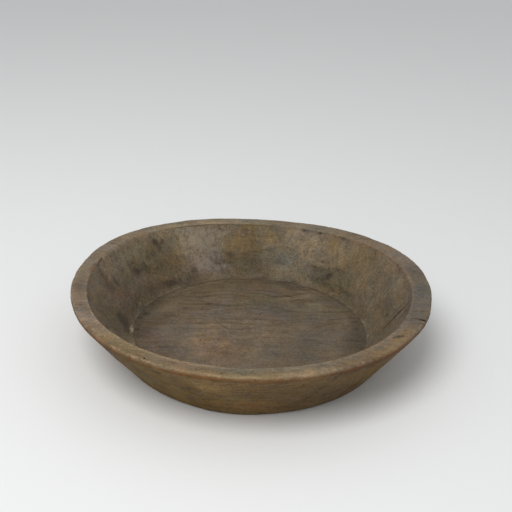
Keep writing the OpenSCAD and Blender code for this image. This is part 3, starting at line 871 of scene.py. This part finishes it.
def bare_wood(w):
    """The wood's colour by stretches, with its grain, before it was used, and a painted warm reflection on
    the outer wall's left.
    """
    base = mix(w.wall, tone("floor"), tone("wall"))
    base = mix(w.rim, base, tone("rim"))
    base = mix(w.outside, base, tone("outside"))
    # A painted warm reflection of a table below the outer wall's left, and a tint on its right
    base = tinted(base, w.outside * span(w.x, -225.0, -50.0, 1.0, 0.0), "left outside table reflection")
    base = tinted(base, w.outside * span(w.x, 60.0, 220.0), "right outside")
    base = mix(w.under, base, tone("underside"))

    shade = 1.0
    for name, (all_over, on_wall, on_rim, outside) in CONTRAST.items():
        amount = all_over + w.wall * on_wall + w.rim * on_rim + w.outside * outside
        shade = shade + (getattr(w, name) - 0.5) * amount
    base = mix(1.0, base, work("MAXIMUM", shade, 0.3), "MULTIPLY")
    base = tinted(base, w.outside * span(w.strand, 0.5, 0.64) * 0.7, "dark strand")
    base = tinted(base, w.outside * span(w.strand, 0.36, 0.5, 1.0, 0.0) * 0.5, "light strand")
    near = span(w.y, -150.0, 100.0, 0.3, 1.25)
    base = tinted(base, w.late * near * (0.55 - w.wall * 0.3 - w.rim * 0.3), "late wood")
    base = tinted(base, span(w.hue, 0.36, 0.66), "warm")
    base = tinted(base, span(w.hue, 0.34, 0.54, 1.0, 0.0), "cool")
    # Flecks where dirt has settled in the grain, and where the wood shows bare
    base = tinted(base, span(w.fleck, 0.57, 0.7) * (0.45 + w.wall * 0.2), "dirt")
    return tinted(base, span(w.fleck, 0.28, 0.44, 1.0, 0.0) * 0.5, "bare")


def stained(w, base):
    """The base colour with every kind of stain on it, painted shade and highlight among them, where the mesh
    carries it.
    """
    def shown(blot):
        return span(blot, 0.02, 0.3)

    def ragged(kind):
        share, cover, raggedness, low, high = RAGGED[kind]
        blot = carried(w.tree, kind)
        edge = blot + ((w.blotch - 0.5) * 2.0 + (w.speck - 0.5) * 1.2 + (w.fine - 0.5) * 0.6) * raggedness
        return mix(span(edge, low, high) * shown(blot) * cover, base, mix(share, base, tone(kind)))

    for kind in STRETCHES:
        base = tinted(base, carried(w.tree, kind) * span(w.blotch, 0.25, 0.75, 0.5, 1.0), kind)
    for kind in PATCHES:
        blot = carried(w.tree, kind)
        base = tinted(base, span(blot + (w.blotch - 0.5), 0.15, 0.85) * shown(blot), kind)
    for kind in ("pale", "rust", "chip_and_highlight"):
        base = ragged(kind)
    base = tinted(base, span(carried(w.tree, "dark"), 0.05, 1.0, 0.0, 0.7, False), "burn and shade")
    base = ragged("dark")

    mottle = carried(w.tree, "mottle")
    gritty = w.grit + (w.blotch - 0.5) * 0.5 + (mottle - 1.0) * 0.3
    return mix(span(gritty, 0.5, 0.62) * span(mottle, 0.02, 0.4) * 0.6, base, tone("grit"))


def worn(w, base):
    """The base colour with the rim's wear and a painted highlight on its edges, a painted highlight on the
    ridge's crest, painted shade in the crease, and darker pits, nicks and pores.
    """
    # Light along the rim's edges: wear, with a painted highlight on top of it
    edges = between(w.place, EDGE + 0.1, EDGE + 0.9, 0.3) * 0.5 + between(w.place, ROLL, ROLL + 0.75, 0.2)
    base = mix(edges * span(w.blotch, 0.42, 0.6) * span(w.streak, 0.35, 0.6) * 0.5, base, tone("worn and lit edge"))
    # The ridge's crest has a painted highlight in places, most of it towards the grain's ends
    ends = span(work("ABSOLUTE", parts(w.direction)[0]), 0.45, 0.95, 0.1, 0.75)
    crest = between(w.place, RIDGE + 0.5, RIDGE + 1.3, 0.35) * ends
    broken = (span(w.blotch, 0.4, 0.6) * span(w.cloud, 0.42, 0.54, 0.15, 1.0)
              * span(w.speck, 0.35, 0.55, 0.5, 1.0))
    base = mix(crest * broken * (1.0 - carried(w.tree, "dull") * 0.6), base, tone("crest"))
    # At the back a second tool line runs just inside the crease, with a lighter band between the two
    back = span(w.y, 60.0, 130.0) * span(w.cloud, 0.4, 0.55, 0.5, 1.0)
    band = between(w.place, FLOOR + 0.945, RIDGE - 0.01, 0.01)
    base = tinted(base, back * band * 0.8, "tool line")
    # Painted shade in the crease, and along the tool line just inside it at the back
    crease_shade = between(w.place, RIDGE - 0.02, RIDGE + 0.35, 0.04)
    crease_shade = crease_shade + between(w.place, FLOOR + 0.925, FLOOR + 0.935, 0.012) * back
    base = mix(crease_shade * span(w.blotch, 0.38, 0.6, 0.15, 0.6), base, tone("crease_shade"))
    base = tinted(base, carried(w.tree, "pit") * (0.6 - w.rim * 0.25), "pit")
    return mix(w.pores * (0.3 - w.rim * 0.1), base, tone("pore"))


def scratched(w, base):
    """The base colour with the thin marks in the hollow, none of them quite straight."""
    hollow = span(w.place, EDGE, EDGE + 0.1, 1.0, 0.0)
    for kind, p, q, half in SCRATCHES:
        run = Vector(q) - Vector(p)
        along = ((w.x - p[0]) * run.x + (w.y - p[1]) * run.y) / run.length_squared
        along = work("MINIMUM", work("MAXIMUM", along, 0.0), 1.0)
        gap = work("LENGTH", point(w.x - p[0] - along * run.x, w.y - p[1] - along * run.y))
        mark = span(gap + (w.ripple - 0.5) * 4.0, half * 0.2, half * 2.0, 1.0, 0.0) * hollow
        kind = kind + " line"
        base = mix(mark * span(w.blotch, 0.35, 0.6, 0.3, 1.0) * LINE_COVER[kind], base, tone(kind))
    return base


def wood_material():
    """Dry brown wood with its stains, wear and marks, and painted light and shade, faintly glossy and rough
    to the touch.
    """
    material = bpy.data.materials.new("aged_wood")
    material.use_nodes = True
    tree = material.node_tree
    skin = tree.nodes["Principled BSDF"]
    w = wood_wires(tree)
    base = scratched(w, worn(w, stained(w, bare_wood(w))))
    # Inside the slot at the left, painted light lifts it out of its shade, and the other cuts get painted
    # shade inside
    inside = mix(span(w.x, -230.0, -200.0), tone("slot"), tone("check"))
    base = mix(span(carried(tree, "in_cut"), 0.0, 0.06, 0.0, 0.95), base, inside)

    feed(tree, base, skin.inputs["Base Color"])
    feed(tree, span(w.blotch, 0.3, 0.7, 0.58, 0.82), skin.inputs["Roughness"])
    skin.inputs["Specular IOR Level"].default_value = 0.2
    bump = tree.nodes.new("ShaderNodeBump")
    bump.inputs["Strength"].default_value = 0.7
    bump.inputs["Distance"].default_value = 1.0 * MM
    height = w.fibre * 0.6 + w.fine * 0.4 + w.blotch * 0.6 + w.speck * 0.3 - w.pores * 0.8 - w.late * 0.2
    feed(tree, height, bump.inputs["Height"])
    tree.links.new(bump.outputs["Normal"], skin.inputs["Normal"])
    return material


wood = wood_material()
bowl = carved_bowl(wood)
cut_checks(bowl)
stain(bowl.data)
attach(bowl, "root")
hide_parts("bowl")

# The stage: a pale matt floor, a soft light from the front left and a bright room, in metres and watts
FLOOR_HALF = 12.0
FLOOR_TONE, FLOOR_ROUGHNESS = (0.78, 0.78, 0.77, 1.0), 0.9
LIGHT_AT, LIGHT_AIM = (-0.9, -1.5, 2.6), (0, 0, 0.05)
LIGHT_SIZE, LIGHT_POWER = 2.0, 60
ROOM_TONE, ROOM_STRENGTH = (0.96, 0.98, 1.0, 1.0), 0.6
# The camera that fits the outlines in the photograph: its place, its sensor and its lens in millimetres, how
# far it looks down, how far it is turned to the right, and the reach of its view in metres
CAMERA_AT = (4.95, -1168.8, 671.1)
SENSOR, LENS = 36.0, 58.4
PITCH, ROLL_RIGHT = 24.13 * DEG, 1.84 * DEG
NEAREST, FURTHEST = 0.05, 60.0


def plain_floor():
    material = bpy.data.materials.new("pale_floor")
    material.use_nodes = True
    paper = material.node_tree.nodes["Principled BSDF"]
    paper.inputs["Base Color"].default_value = FLOOR_TONE
    paper.inputs["Roughness"].default_value = FLOOR_ROUGHNESS
    mesh = bpy.data.meshes.new("plain_floor")
    corners = [(x * FLOOR_HALF, y * FLOOR_HALF, 0) for x, y in ((-1, -1), (1, -1), (1, 1), (-1, 1))]
    mesh.from_pydata(corners, [], [(0, 1, 2, 3)])
    mesh.materials.append(material)
    floor = link(mesh, "plain_floor")


def soft_light():
    lamp = bpy.data.lights.new("window_light", "AREA")
    lamp.shape, lamp.size, lamp.energy = "DISK", LIGHT_SIZE, LIGHT_POWER
    light = link(lamp, "window_light")
    light.location = LIGHT_AT
    light.rotation_mode = "QUATERNION"
    light.rotation_quaternion = (Vector(LIGHT_AIM) - Vector(LIGHT_AT)).to_track_quat("-Z", "Y")


def bright_room():
    world = bpy.data.worlds.new("room")
    bpy.context.scene.world = world
    world.use_nodes = True
    sky = world.node_tree.nodes["Background"]
    sky.inputs["Color"].default_value = ROOM_TONE
    sky.inputs["Strength"].default_value = ROOM_STRENGTH


def photo_camera():
    view = bpy.data.cameras.new("photo_camera")
    view.sensor_width, view.lens = SENSOR, LENS
    view.clip_start, view.clip_end = NEAREST, FURTHEST
    camera = link(view, "photo_camera")
    pitched, rolled = Matrix.Rotation(math.pi / 2 - PITCH, 4, "X"), Matrix.Rotation(ROLL_RIGHT, 4, "Z")
    camera.matrix_world = Matrix.Translation([v * MM for v in CAMERA_AT]) @ pitched @ rolled
    bpy.context.scene.camera = camera


plain_floor()
soft_light()
bright_room()
photo_camera()
bpy.context.scene.view_settings.view_transform = "Standard"
